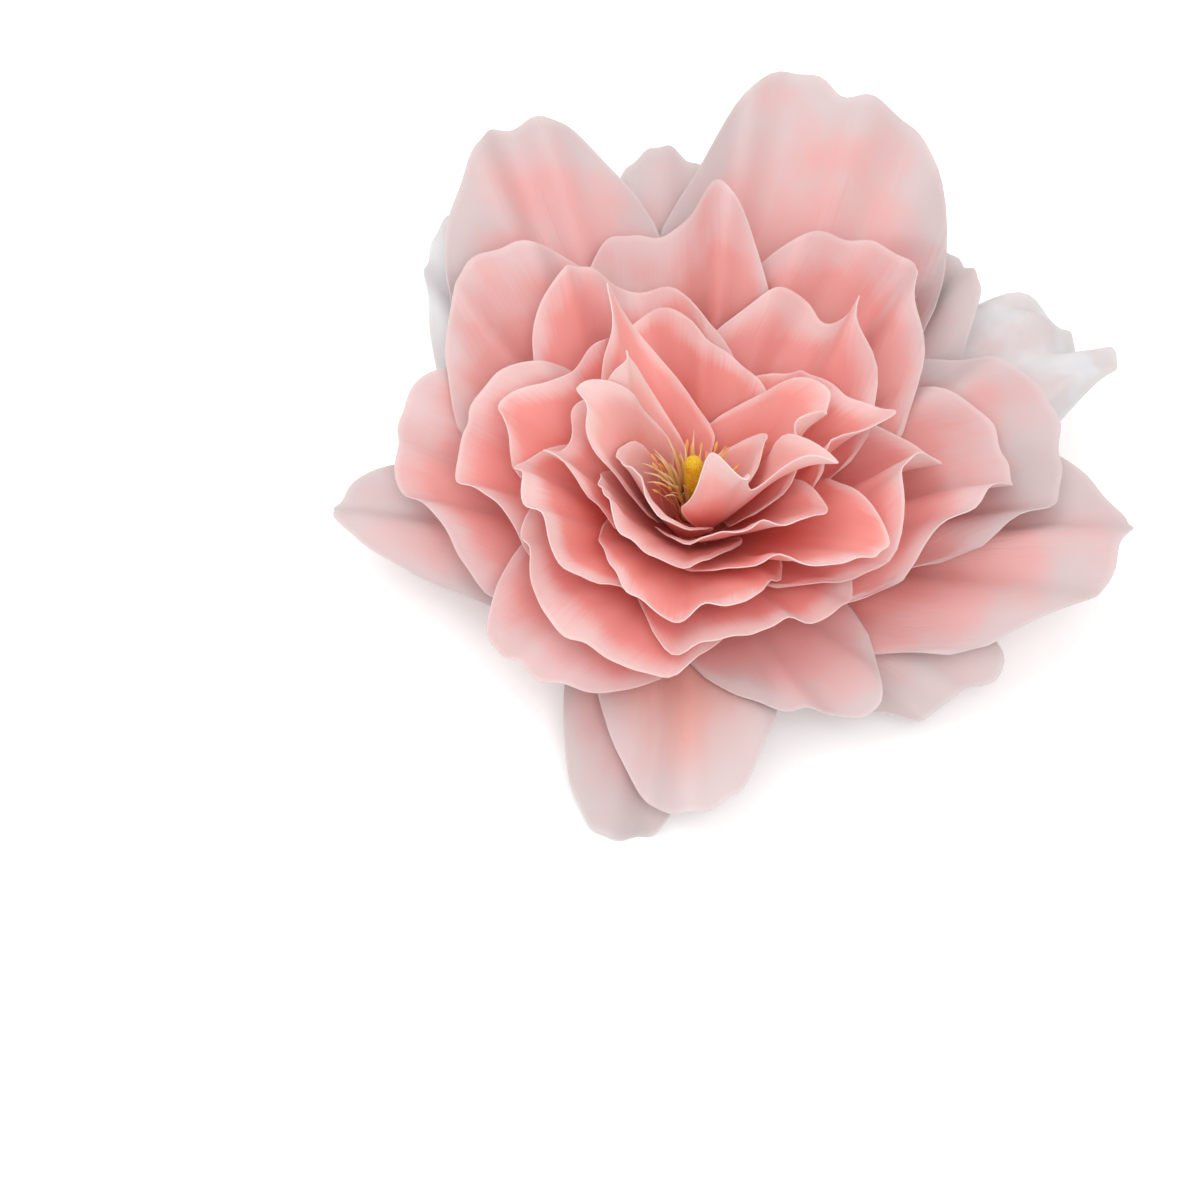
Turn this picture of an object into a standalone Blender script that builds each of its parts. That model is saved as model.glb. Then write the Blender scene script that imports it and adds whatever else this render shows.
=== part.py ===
"""Crepe paper peony: a flower head of cupped and fluted paper petals on a wired stem, cut short.

The head lies face up on its lowest petals and on the cut end of its stem. +Z is up, -Y is the side
with the lower petals, and the origin is the middle of the stem's cut end. Every petal is a sheet of
crepe cut from the roll, cupped and fluted by hand and glued by its narrow claw to the wound core.

Petals lie in shells that open like a fan, from the upright shell 0 round the stamens to shell 1,
which droops to the table. The shells share one set of flutes and never cross, so sheets that stay in
their own share of the fan stay clear of each other.
"""

from math import cos, pi, radians, sin

import bmesh
import bpy
import numpy as np
from mathutils import Matrix

# Paper and wire
PAPER = 0.0006
GLUE_GAP = 0.0003
WIRE_RADIUS = 0.0015
WRAP_RADIUS = 0.0027

# Heights above the table
STEM_END = 0.0
CALYX_FOOT = 0.015
CORE_FOOT = 0.025
CORE_TOP = 0.055
WIRE_TOP = 0.063
POLLEN_TOP = 0.097

# The wound core that every petal is glued to
CORE_TOP_RADIUS = 0.0075
CORE_FOOT_RADIUS = 0.0105
CLAW_INSET = 0.004
CALYX_FOOT_RADIUS = 0.0042
ROUND_SIDES = 16

# Stamens: a fringed strip of tan crepe and a strip of peach threads wound round the pollen centre
POLLEN_RADIUS = 0.0046
FRINGE_COUNT = 22
FRINGE_BAND = 0.012
FRINGE_LENGTH = 0.040
FRINGE_FLARE = radians(15)
THREAD_COUNT = 18
THREAD_BAND = 0.005
THREAD_LENGTH = 0.036
THREAD_FLARE = radians(19)
STRIP_WALL = 0.0008
STRIP_LEAN_SPREAD = 0.12
STRIP_LENGTH_SPREAD = 0.16
WRAP_LAP = 0.006
WRAP_STEP = 0.0004

# Meshes
CORNER = radians(40)
SAME_POINT = 0.00001

# Sepals
SEPAL_COUNT = 5

# How the fan of shells opens: slope in degrees at three distances from the core
SHELLS = (0.0, 0.10, 0.20, 0.33, 0.50, 0.65, 0.80, 0.93, 0.96, 1.0, 1.2)
PETAL_REACH = 0.200
MIDDLE_REACH = 0.4 * PETAL_REACH
SLOPE_AT_CORE = (74, 62, 50, 36, 18, 8, 2, -3, -4, -5, -20)
SLOPE_MIDDLE_FRONT = (84, 75, 60, 41, 21, 8, 0, -9, -10, -12, -24)
SLOPE_MIDDLE_BACK = (76, 70, 62, 53, 43, 37, 31, 27, 25, -12, -24)
SLOPE_FULL_FRONT = (90, 78, 61, 40, 18, 2, -8, -20, -22, -24, -28)
SLOPE_FULL_BACK = (78, 73, 67, 61, 53, 47, 41, 37, 35, -16, -24)
PROFILE_STEPS = 20
TABLE_EASE = 0.002

# Flutes that all shells share: how many go round, their swing in degrees, twist and start in radians
WIDE_FLUTES = ((3, 3.0, 2.0, 2.5), (5, 6.0, 2.0, 0.9))
WIDE_SHARE = (0.6, 0.8, 1.0, 1.0, 0.9, 0.7, 0.4, 0.25, 0.2, 0.15, 0.1)
CLOSE_FLUTES = ((7, 6.0, 3.0, 1.9), (9, 3.0, 3.0, 0.7))
CLOSE_SHARE = (0.1, 0.2, 0.4, 0.8, 1.0, 0.85, 0.55, 0.35, 0.3, 0.2, 0.1)

# Petal sheets
CLAW_WIDTH = 0.007
WIDEST_AT = 0.62
MOST_WRAP = radians(88)

# Cells of each ring's sheets, across and along, and of two sheets that are wide for their ring
CELLS = {"heart": (10, 4), "inner": (8, 5), "bowl": (8, 5), "cup": (8, 6), "mid": (8, 6),
         "guard": (8, 6), "outer": (8, 5), "under": (6, 3), "sepal": (4, 3)}
FINER_CELLS = {"cup_petal_back_right": (10, 6), "guard_petal_top": (10, 6)}


def smooth(x):
    x = np.clip(x, 0, 1)
    return x * x * (3 - 2 * x)


def core_radius(height):
    """Radius of the wound core at a height."""
    share = (height - CORE_FOOT) / (CORE_TOP - CORE_FOOT)
    return CORE_FOOT_RADIUS + (CORE_TOP_RADIUS - CORE_FOOT_RADIUS) * share


def slope(shell, along, azimuth):
    """Angle above the horizontal of a shell, in radians, at a distance along the paper."""
    back = 0.5 + 0.5 * np.sin(azimuth)
    at_core = np.interp(shell, SHELLS, SLOPE_AT_CORE)
    middle = (1 - back) * np.interp(shell, SHELLS, SLOPE_MIDDLE_FRONT)
    middle += back * np.interp(shell, SHELLS, SLOPE_MIDDLE_BACK)
    full = (1 - back) * np.interp(shell, SHELLS, SLOPE_FULL_FRONT)
    full += back * np.interp(shell, SHELLS, SLOPE_FULL_BACK)
    near = smooth(along / MIDDLE_REACH)
    far = np.clip((along - MIDDLE_REACH) / (PETAL_REACH - MIDDLE_REACH), 0, None)
    flutes = 0
    for waves, share in ((WIDE_FLUTES, WIDE_SHARE), (CLOSE_FLUTES, CLOSE_SHARE)):
        for count, swing, twist, start in waves:
            wave = swing * np.sin(count * azimuth + twist * shell + start)
            flutes = flutes + wave * np.interp(shell, SHELLS, share)
    return np.radians(at_core + (middle - at_core + flutes) * near + (full - middle) * far)


def on_shell(shell, along, azimuth):
    """Points on the fan of shells, as arrays of x, y and z."""
    claw_zone = CORE_TOP - CORE_FOOT - 2 * CLAW_INSET
    height = CORE_TOP - CLAW_INSET - shell * claw_zone
    radius = core_radius(height) + GLUE_GAP + PAPER / 2
    step = along / PROFILE_STEPS
    for k in range(PROFILE_STEPS):
        angle = slope(shell, step * (k + 0.5), azimuth)
        radius = radius + step * np.cos(angle)
        height = height + step * np.sin(angle)
    return np.stack([radius * np.cos(azimuth), radius * np.sin(azimuth), height], axis=-1)


def above_table(height):
    """Paper that would droop below the table lies along it instead."""
    rise = height - PAPER / 2
    return PAPER / 2 + (rise + np.sqrt(rise ** 2 + TABLE_EASE ** 2)) / 2


def curve_through(values, u):
    """A smooth curve through evenly spaced values, read at u from -1 to 1."""
    values = np.asarray(values, dtype=float)
    last = len(values) - 1
    place = np.clip((u + 1) / 2 * last, 0, last - 1e-9)
    start = place.astype(int)
    t = place - start
    before = values[np.maximum(start - 1, 0)]
    a = values[start]
    b = values[start + 1]
    after = values[np.minimum(start + 2, last)]
    slope_a = (b - before) / 2
    slope_b = (after - a) / 2
    return a + slope_a * t + (3 * (b - a) - 2 * slope_a - slope_b) * t ** 2 \
        + (2 * (a - b) + slope_a + slope_b) * t ** 3


class Petal:
    """One petal: its place in the fan, its blank, and how it was cupped and fluted.

    Its width and rim are in hundredths of PETAL_REACH. rim gives the length from claw to rim at even
    places from one side to the other, and waves how far the rim leans out of the petal's shell
    there, as a share of the fan. shoulder is how much of its length is left at its two sides, lean
    how far one side lies outside the other, and flare how far its rim opens.
    """

    def __init__(self, name, azimuth, shell, width, rim, waves=(0.0, 0.0), shoulder=0.72, lean=0.045,
                 flare=0.010):
        self.name = name
        self.azimuth = radians(azimuth)
        self.shell = shell
        self.width = width / 100 * PETAL_REACH
        self.rim = [length / 100 * PETAL_REACH for length in rim]
        self.waves = waves
        self.shoulder = shoulder
        self.lean = lean
        self.flare = flare

    def points(self, u, v):
        """Points of the sheet: u runs across from -1 to 1, v from the claw at 0 to the rim at 1."""
        crown = (1 - np.abs(u) ** 3.5) ** 0.5
        rim = curve_through(self.rim, u) * (self.shoulder + (1 - self.shoulder) * crown)
        along = rim * v
        share = along / max(self.rim)
        spread = smooth(np.sqrt(share * v) / WIDEST_AT)
        middle = on_shell(np.full_like(u, self.shell), along, np.full_like(u, self.azimuth))
        radius = np.hypot(middle[..., 0], middle[..., 1])
        half = (CLAW_WIDTH + (self.width - CLAW_WIDTH) * spread) / 2
        azimuth = self.azimuth + u * np.minimum(half / radius, MOST_WRAP)
        shell = self.shell + self.lean * u + self.flare * share ** 4
        shell = shell + curve_through(self.waves, u) * share ** 2
        points = on_shell(shell, along, azimuth)
        points[..., 2] = above_table(points[..., 2])
        return points

    def sheet(self):
        """The petal's paper as one layer of triangles."""
        across, along = FINER_CELLS.get(self.name) or CELLS[self.name.split("_")[0]]
        v, u = np.meshgrid(np.linspace(0, 1, along + 1), np.linspace(-1, 1, across + 1),
                           indexing="ij")
        row = across + 1
        faces = []
        for j in range(along):
            for i in range(across):
                a = j * row + i
                b, c, d = a + 1, a + row + 1, a + row
                faces += [(a, b, c), (a, c, d)] if i < across / 2 else [(a, b, d), (b, c, d)]
        return self.points(u, v).reshape(-1, 3).tolist(), faces


def petals():
    """Every petal, from the innermost ring outwards."""
    fold = (0.03, -0.005, -0.03, 0.0, 0.03)
    swell = (0.010, -0.010, 0.010, -0.010, 0.010)
    turn = (-0.010, 0.010, -0.008, 0.010, -0.010)
    return [
        Petal("heart_petal_front_right", -49, 0.13, 32, (56, 48, 34, 50, 46), shoulder=0.85,
              lean=0.03),
        Petal("heart_petal_front_left", -144, 0.12, 32, (30, 32, 36, 36, 29), shoulder=0.8),
        Petal("heart_petal_left", 168, 0.12, 26, (30, 44, 47, 38, 26)),
        Petal("heart_petal_back", 140, 0.13, 20, (24, 40, 50, 42, 28), lean=0.03),
        Petal("heart_petal_right", 8, 0.11, 22, (20, 28, 30, 28, 20)),

        Petal("inner_petal_point", 118, 0.235, 32, (26, 38, 60, 50, 33), fold, 0.8),
        Petal("inner_petal_left", 174, 0.235, 40, (33, 42, 37, 48, 33), swell),
        Petal("inner_petal_front_left", -124, 0.24, 44, (32, 40, 42, 36, 30), turn),
        Petal("inner_petal_front_right", -56, 0.24, 42, (32, 37, 42, 44, 38), swell),
        Petal("inner_petal_right", 18, 0.235, 42, (33, 47, 42, 46, 30), turn),

        Petal("bowl_petal_back", 82, 0.365, 50, (32, 38, 46, 55, 47)),
        Petal("bowl_petal_right", 29, 0.365, 49, (49, 55, 48, 46, 42), shoulder=0.8),
        Petal("bowl_petal_front_right", -38, 0.365, 50, (38, 48, 53, 50, 38)),
        Petal("bowl_petal_front", -96, 0.365, 52, (38, 46, 49, 45, 38), swell),
        Petal("bowl_petal_left", -154, 0.365, 52, (38, 50, 52, 48, 38), turn),
        Petal("bowl_petal_left_back", 144, 0.365, 52, (40, 51, 47, 55, 41), swell),

        Petal("cup_petal_front_left", -125, 0.50, 63, (49, 49, 51, 50, 44), swell, 0.8),
        Petal("cup_petal_front_right", -62, 0.50, 60, (49, 45, 44, 45, 41), swell, 0.8),
        Petal("cup_petal_right", -2, 0.50, 60, (44, 57, 61, 57, 46)),
        Petal("cup_petal_back_right", 53, 0.495, 56, (56, 71, 62, 65, 52), turn),
        Petal("cup_petal_back_left", 112, 0.50, 61, (54, 62, 69, 73, 57), swell),
        Petal("cup_petal_left", 168, 0.50, 59, (56, 60, 58, 54, 46), swell, 0.8),

        Petal("mid_petal_top", 93, 0.66, 56, (78, 92, 80, 84, 77), swell, lean=0.03),
        Petal("mid_petal_top_right", 52, 0.655, 62, (77, 87, 90, 85, 77), swell),
        Petal("mid_petal_top_left", 130, 0.655, 59, (68, 81, 87, 84, 73), turn),
        Petal("mid_petal_left", 170, 0.745, 73, (77, 77, 72, 61, 55), lean=0.01),
        Petal("mid_petal_front_left", -132, 0.655, 50, (50, 57, 59, 54, 47), swell),
        Petal("mid_petal_right", 6, 0.655, 67, (62, 72, 77, 77, 67), turn),

        Petal("guard_petal_top_left", 118, 0.775, 65, (104, 118, 118, 109, 89), shoulder=0.84, lean=0.0),
        Petal("guard_petal_top", 67, 0.83, 75, (100, 121, 126, 123, 129, 121, 103), shoulder=0.86,
              lean=0.0),
        Petal("guard_petal_right_back", 13, 0.78, 60, (82, 90, 93, 92, 82), lean=0.0),
        Petal("guard_petal_right", -5, 0.86, 63, (84, 97, 103, 104, 94), shoulder=0.8, lean=0.0),
        Petal("guard_petal_front_right", -59, 0.79, 44, (46, 51, 57, 62, 57), lean=0.0),
        Petal("guard_petal_front", -92, 0.84, 47, (50, 66, 72, 69, 53), shoulder=0.8, lean=0.0),

        Petal("outer_petal_top", 92, 0.935, 44, (95, 109, 113, 110, 95), lean=0.0),
        Petal("outer_petal_upper_right", 46, 0.89, 47, (94, 103, 105, 103, 94), lean=0.0),
        Petal("outer_petal_far_right", 30, 0.96, 46, (97, 126, 121, 123, 105), lean=0.0),
        Petal("outer_petal_lower_right", -34, 0.93, 46, (56, 66, 73, 79, 71), lean=0.0),
        Petal("outer_petal_bottom", -106, 0.93, 45, (45, 67, 75, 74, 62), lean=0.0),
        Petal("outer_petal_left_tip", 178, 0.93, 44, (72, 82, 86, 76, 56), lean=0.0),
        Petal("outer_petal_upper_left", 134, 0.885, 46, (98, 106, 101, 87, 76), lean=0.0),

        Petal("under_petal_back", 96, 1.03, 42, (65, 74, 75, 74, 65), lean=0.0),
        Petal("under_petal_left", 152, 1.0, 40, (60, 70, 71, 70, 60), lean=0.0),
        Petal("under_petal_right", 38, 1.0, 40, (65, 74, 75, 74, 65), lean=0.0),
    ]


def sepals():
    """The green crepe sepals under the petals."""
    return [Petal(f"sepal_{k + 1}", 90 + 360 / SEPAL_COUNT * k, 1.12, 13, (17, 22, 25, 22, 17),
                  shoulder=0.6, lean=0.02, flare=0.0) for k in range(SEPAL_COUNT)]


def paper(name, colour, roughness=0.75, metallic=0.0):
    """A material with one colour, roughness and metallic value."""
    material = bpy.data.materials.new(name)
    material.use_nodes = True
    shader = material.node_tree.nodes["Principled BSDF"]
    shader.inputs["Base Color"].default_value = (*colour, 1)
    shader.inputs["Roughness"].default_value = roughness
    shader.inputs["Metallic"].default_value = metallic
    return material


def add_object(name, mesh, material):
    obj = bpy.data.objects.new(name, mesh)
    obj.data.materials.append(material)
    bpy.context.scene.collection.objects.link(obj)
    return obj


def add_sheet(petal, material):
    """One petal or sepal as a sheet with the paper's thickness."""
    points, faces = petal.sheet()
    mesh = bpy.data.meshes.new(petal.name)
    mesh.from_pydata(points, [], faces)
    mesh.shade_smooth()
    sheet = add_object(petal.name, mesh, material)
    solidify = sheet.modifiers.new("Paper", "SOLIDIFY")
    solidify.thickness = PAPER
    solidify.offset = 0
    return sheet


def add_turned(name, profile, material, sides=ROUND_SIDES, closed=False):
    """A round piece turned about the flower's axis from (radius, height) points."""
    mesh = bpy.data.meshes.new(name)
    work = bmesh.new()
    ring = [work.verts.new((radius, 0, height)) for radius, height in profile]
    pairs = zip(ring, ring[1:] + ring[:1]) if closed else zip(ring, ring[1:])
    edges = [work.edges.new(pair) for pair in pairs]
    bmesh.ops.spin(work, geom=ring + edges, cent=(0, 0, 0), axis=(0, 0, 1), angle=2 * pi,
                   steps=sides, use_merge=True)
    bmesh.ops.remove_doubles(work, verts=work.verts, dist=SAME_POINT)
    bmesh.ops.recalc_face_normals(work, faces=work.faces)
    work.to_mesh(mesh)
    work.free()
    mesh.shade_smooth()
    mesh.set_sharp_from_angle(angle=CORNER)
    return add_object(name, mesh, material)


def add_stem_wrap(material):
    """The crepe strip wound up the wire: each lap steps out over the one below."""
    inner = WIRE_RADIUS + GLUE_GAP
    height = CORE_FOOT - GLUE_GAP
    laps = round(height / WRAP_LAP)
    wrap = add_turned("stem_wrap", [(inner, STEM_END), (inner, height), (WRAP_RADIUS, height),
                                    (WRAP_RADIUS, STEM_END)], material, closed=True)
    work = bmesh.new()
    work.from_mesh(wrap.data)
    outer = [edge for edge in work.edges
             if min(v.co.xy.length for v in edge.verts) > (inner + WRAP_RADIUS) / 2
             and abs(edge.verts[0].co.z - edge.verts[1].co.z) > height / 2]
    bmesh.ops.subdivide_edges(work, edges=outer, cuts=laps, use_grid_fill=True)
    for vert in work.verts:
        middle = STEM_END + GLUE_GAP < vert.co.z < height - GLUE_GAP
        if middle and vert.co.xy.length > (inner + WRAP_RADIUS) / 2:
            turn = np.arctan2(vert.co.y, vert.co.x) / (2 * pi)
            lap = (vert.co.z / WRAP_LAP + turn) % 1
            reach = 1 - WRAP_STEP / WRAP_RADIUS * lap
            vert.co.x *= reach
            vert.co.y *= reach
    work.to_mesh(wrap.data)
    work.free()
    return wrap


def add_fringe(name, count, inner, band, length, flare, tip, material, fan=0.0):
    """A strip wound into a ring, its upper part cut into narrow strips that flare outwards."""
    wall = STRIP_WALL
    foot = CORE_TOP + GLUE_GAP
    fringe = add_turned(name, [(inner, foot), (inner, foot + band), (inner + wall, foot + band),
                               (inner + wall, foot)], material, sides=2 * count, closed=True)
    work = bmesh.new()
    work.from_mesh(fringe.data)
    tops = [face for face in work.faces if face.normal.z > 0.9]
    tops.sort(key=lambda face: np.arctan2(face.calc_center_median().y, face.calc_center_median().x))
    strips = bmesh.ops.extrude_discrete_faces(work, faces=tops[::2])["faces"]
    for k, face in enumerate(strips):
        centre = face.calc_center_median()
        outward = centre.copy()
        outward.z = 0
        outward.normalize()
        lean = flare * (1 + STRIP_LEAN_SPREAD * sin(2.6 * k)) - fan * outward.x
        reach = length * (1 + STRIP_LENGTH_SPREAD * sin(1.9 * k + 0.5))
        rise = outward * (reach * sin(lean))
        rise.z = reach * cos(lean)
        for vert in face.verts:
            vert.co = vert.co + rise
        bmesh.ops.scale(work, vec=(tip, tip, tip), verts=face.verts,
                        space=Matrix.Translation(-(centre + rise)))
    bmesh.ops.recalc_face_normals(work, faces=work.faces)
    work.to_mesh(fringe.data)
    work.free()
    return fringe


def main():
    """Build every piece."""
    for obj in list(bpy.data.objects):
        bpy.data.objects.remove(obj)
    pink = paper("pink_crepe", (0.86, 0.42, 0.40))
    green = paper("green_crepe", (0.10, 0.16, 0.03))
    tan = paper("tan_crepe", (0.62, 0.38, 0.14))
    peach = paper("peach_crepe", (0.85, 0.42, 0.20))
    yellow = paper("yellow_pollen", (0.72, 0.42, 0.02), 0.9)
    white = paper("white_paper", (0.78, 0.74, 0.68))
    steel = paper("florist_wire", (0.40, 0.40, 0.41), 0.4, 1.0)

    hole = WIRE_RADIUS + GLUE_GAP
    add_turned("stem_wire", [(0, STEM_END), (WIRE_RADIUS, STEM_END), (WIRE_RADIUS, WIRE_TOP),
                             (0, WIRE_TOP)], steel, sides=10)
    add_stem_wrap(green)
    sleeve = WRAP_RADIUS + GLUE_GAP
    calyx_top = CORE_FOOT - GLUE_GAP
    add_turned("calyx_band", [(sleeve, CALYX_FOOT), (sleeve, calyx_top), (CORE_FOOT_RADIUS, calyx_top),
                              (CALYX_FOOT_RADIUS, CALYX_FOOT)], green, closed=True)
    add_turned("petal_core", [(hole, CORE_FOOT), (hole, CORE_TOP), (CORE_TOP_RADIUS, CORE_TOP),
                              (CORE_FOOT_RADIUS, CORE_FOOT)], white, closed=True)
    pollen_foot = CORE_TOP + GLUE_GAP
    recess = WIRE_TOP + GLUE_GAP
    dome = [(POLLEN_RADIUS * cos(angle), POLLEN_TOP - POLLEN_RADIUS * (1 - sin(angle)))
            for angle in (0, pi / 6, pi / 3)]
    add_turned("pollen_centre", [(0, recess), (hole, recess), (hole, pollen_foot),
                                 (POLLEN_RADIUS * 0.7, pollen_foot)] + dome + [(0, POLLEN_TOP)], yellow)
    fringe_inner = POLLEN_RADIUS + GLUE_GAP
    add_fringe("stamen_fringe", FRINGE_COUNT, fringe_inner, FRINGE_BAND, FRINGE_LENGTH,
               FRINGE_FLARE, 0.5, tan, fan=radians(4))
    thread_inner = fringe_inner + STRIP_WALL + GLUE_GAP
    add_fringe("stamen_threads", THREAD_COUNT, thread_inner, THREAD_BAND, THREAD_LENGTH,
               THREAD_FLARE, 0.8, peach)
    for petal in petals():
        add_sheet(petal, pink)
    for sepal in sepals():
        add_sheet(sepal, green)


main()
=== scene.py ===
"""Crepe paper peony lying face up on a pale table: the looks of every petal, stamen and sepal.

Petals lie in shells that open like a fan, from the upright shell 0 round the stamens to shell 1,
which droops to the table. The shells share one set of flutes and never cross, so sheets that stay in
their own share of the fan stay clear of each other.
"""

from math import cos, pi, radians, sin

import bpy
import numpy as np
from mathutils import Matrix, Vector, noise


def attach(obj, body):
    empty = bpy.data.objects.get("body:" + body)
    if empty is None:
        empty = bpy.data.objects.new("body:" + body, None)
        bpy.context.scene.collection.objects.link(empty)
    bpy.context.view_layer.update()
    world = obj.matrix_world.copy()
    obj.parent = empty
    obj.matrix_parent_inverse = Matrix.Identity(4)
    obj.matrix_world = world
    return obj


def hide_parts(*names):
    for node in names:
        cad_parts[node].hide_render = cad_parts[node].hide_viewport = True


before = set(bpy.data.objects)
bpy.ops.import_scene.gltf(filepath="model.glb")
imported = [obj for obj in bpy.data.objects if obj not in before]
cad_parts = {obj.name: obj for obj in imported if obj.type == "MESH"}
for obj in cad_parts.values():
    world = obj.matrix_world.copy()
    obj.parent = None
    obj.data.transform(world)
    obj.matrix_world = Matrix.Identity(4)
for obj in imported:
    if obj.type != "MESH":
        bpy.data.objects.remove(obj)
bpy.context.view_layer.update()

# Paper
PAPER = 0.0005
SMOOTH_BELOW = radians(50)
GLUE_GAP = 0.0003
CAD_PAPER = 0.0006

# The wound core that every petal is glued to
CORE_FOOT = 0.025
CORE_TOP = 0.055
CORE_TOP_RADIUS = 0.0075
CORE_FOOT_RADIUS = 0.0105
CLAW_INSET = 0.004

# How the fan of shells opens: slope in degrees at three distances from the core
SHELLS = (0.0, 0.10, 0.20, 0.33, 0.50, 0.65, 0.80, 0.93, 0.96, 1.0, 1.2)
PETAL_REACH = 0.200
MIDDLE_REACH = 0.4 * PETAL_REACH
SLOPE_AT_CORE = (74, 62, 50, 36, 18, 8, 2, -3, -4, -5, -20)
SLOPE_MIDDLE_FRONT = (84, 75, 60, 41, 21, 8, 0, -9, -10, -12, -24)
SLOPE_MIDDLE_BACK = (76, 70, 62, 53, 43, 37, 31, 27, 25, -12, -24)
SLOPE_FULL_FRONT = (90, 78, 61, 40, 18, 2, -8, -20, -22, -24, -28)
SLOPE_FULL_BACK = (78, 73, 67, 61, 53, 47, 41, 37, 35, -16, -24)
PROFILE_STEPS = 20
TABLE_EASE = 0.002

# Flutes that all shells share: how many go round, their swing in degrees, twist and start in radians.
# A share says how much of them each shell of SHELLS takes up.
WIDE_FLUTES = ((3, 3.0, 2.0, 2.5), (5, 6.0, 2.0, 0.9))
WIDE_SHARE = (0.6, 0.8, 1.0, 1.0, 0.9, 0.7, 0.4, 0.25, 0.2, 0.15, 0.1)
CLOSE_FLUTES = ((7, 6.0, 3.0, 1.9), (9, 3.0, 3.0, 0.7))
CLOSE_SHARE = (0.1, 0.2, 0.4, 0.8, 1.0, 0.85, 0.55, 0.35, 0.3, 0.2, 0.1)
FINE_FLUTES = ((17, 1.6, 3.0, 0.3), (25, 1.5, 2.0, 2.2), (37, 0.6, 5.0, 1.0))
FINE_SHARE = (0.1, 0.2, 0.5, 0.9, 1.0, 1.0, 1.0, 1.0, 1.0, 0.4, 0.1)

# Curls of the rims, which set in farther from the core on each shell
CURLS = ((5, 10.0, 4.0, 1.2), (8, 20.0, 5.0, 0.6), (14, 10.0, 4.0, 2.7))
CURL_SHARE = (0.3, 0.7, 1.0, 1.0, 0.80, 0.25, 0.08, 0.05, 0.05, 0.05, 0.0)
CURL_STARTS = 0.030
CURL_MOVES = 0.06
CURL_RISE = 0.060

# Petal sheets
CLAW_WIDTH = 0.007
WIDEST_AT = 0.62
MOST_WRAP = radians(88)
SHEET_ACROSS = 44
SHEET_ALONG = 40
SEPAL_COUNT = 5
LIP_STARTS = 0.86
CROWN_ROUNDNESS = 3.5

# Ripples of every rim: how many cross the sheet, their share of its length and their own start
RIM_RIPPLES = ((8, 0.010, 1), (19, 0.005, 2))

# Ruffles out of the shell, near the rim: how many cross the sheet, their share of the fan and start
RUFFLES = (13, 0.0025, 3)


def smooth(x):
    """0 up to 0, 1 from 1 and smooth between them."""
    x = np.clip(x, 0, 1)
    return x * x * (3 - 2 * x)


def core_radius(height):
    """Radius of the wound core at a height."""
    share = (height - CORE_FOOT) / (CORE_TOP - CORE_FOOT)
    return CORE_FOOT_RADIUS + (CORE_TOP_RADIUS - CORE_FOOT_RADIUS) * share


def wave_sum(waves, share, shell, azimuth):
    """Some flutes or curls at an azimuth, as far as the shell takes them up, in degrees."""
    total = 0
    for count, swing, twist, start in waves:
        total = total + swing * np.sin(count * azimuth + twist * shell + start)
    return total * np.interp(shell, SHELLS, share)


def slope(shell, along, azimuth):
    """Angle above the horizontal of a shell, in radians, at a distance along the paper."""
    back = 0.5 + 0.5 * np.sin(azimuth)
    at_core = np.interp(shell, SHELLS, SLOPE_AT_CORE)
    middle = (1 - back) * np.interp(shell, SHELLS, SLOPE_MIDDLE_FRONT)
    middle += back * np.interp(shell, SHELLS, SLOPE_MIDDLE_BACK)
    full = (1 - back) * np.interp(shell, SHELLS, SLOPE_FULL_FRONT)
    full += back * np.interp(shell, SHELLS, SLOPE_FULL_BACK)
    near = smooth(along / MIDDLE_REACH)
    far = np.clip((along - MIDDLE_REACH) / (PETAL_REACH - MIDDLE_REACH), 0, None)
    curled = smooth((along - CURL_STARTS - CURL_MOVES * shell) / CURL_RISE)
    flutes = wave_sum(WIDE_FLUTES, WIDE_SHARE, shell, azimuth)
    flutes += wave_sum(CLOSE_FLUTES, CLOSE_SHARE, shell, azimuth)
    flutes += wave_sum(FINE_FLUTES, FINE_SHARE, shell, azimuth)
    flutes += wave_sum(CURLS, CURL_SHARE, shell, azimuth) * curled
    return np.radians(at_core + (middle - at_core + flutes) * near + (full - middle) * far)


def on_shell(shell, along, azimuth):
    """Points on the fan of shells, as arrays of x, y and z."""
    claw_zone = CORE_TOP - CORE_FOOT - 2 * CLAW_INSET
    height = CORE_TOP - CLAW_INSET - shell * claw_zone
    radius = core_radius(height) + GLUE_GAP + CAD_PAPER / 2
    step = along / PROFILE_STEPS
    for k in range(PROFILE_STEPS):
        angle = slope(shell, step * (k + 0.5), azimuth)
        radius = radius + step * np.cos(angle)
        height = height + step * np.sin(angle)
    return np.stack([radius * np.cos(azimuth), radius * np.sin(azimuth), height], axis=-1)


def above_table(height):
    """Paper that would droop below the table lies along it instead."""
    rise = height - CAD_PAPER / 2
    return CAD_PAPER / 2 + (rise + np.sqrt(rise ** 2 + TABLE_EASE ** 2)) / 2


def curve_through(values, u):
    """A smooth curve through evenly spaced values, read at u from -1 to 1."""
    values = np.asarray(values, dtype=float)
    last = len(values) - 1
    place = np.clip((u + 1) / 2 * last, 0, last - 1e-9)
    start = place.astype(int)
    t = place - start
    before = values[np.maximum(start - 1, 0)]
    a = values[start]
    b = values[start + 1]
    after = values[np.minimum(start + 2, last)]
    slope_a = (b - before) / 2
    slope_b = (after - a) / 2
    return a + slope_a * t + (3 * (b - a) - 2 * slope_a - slope_b) * t ** 2 \
        + (2 * (a - b) + slope_a + slope_b) * t ** 3


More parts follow.
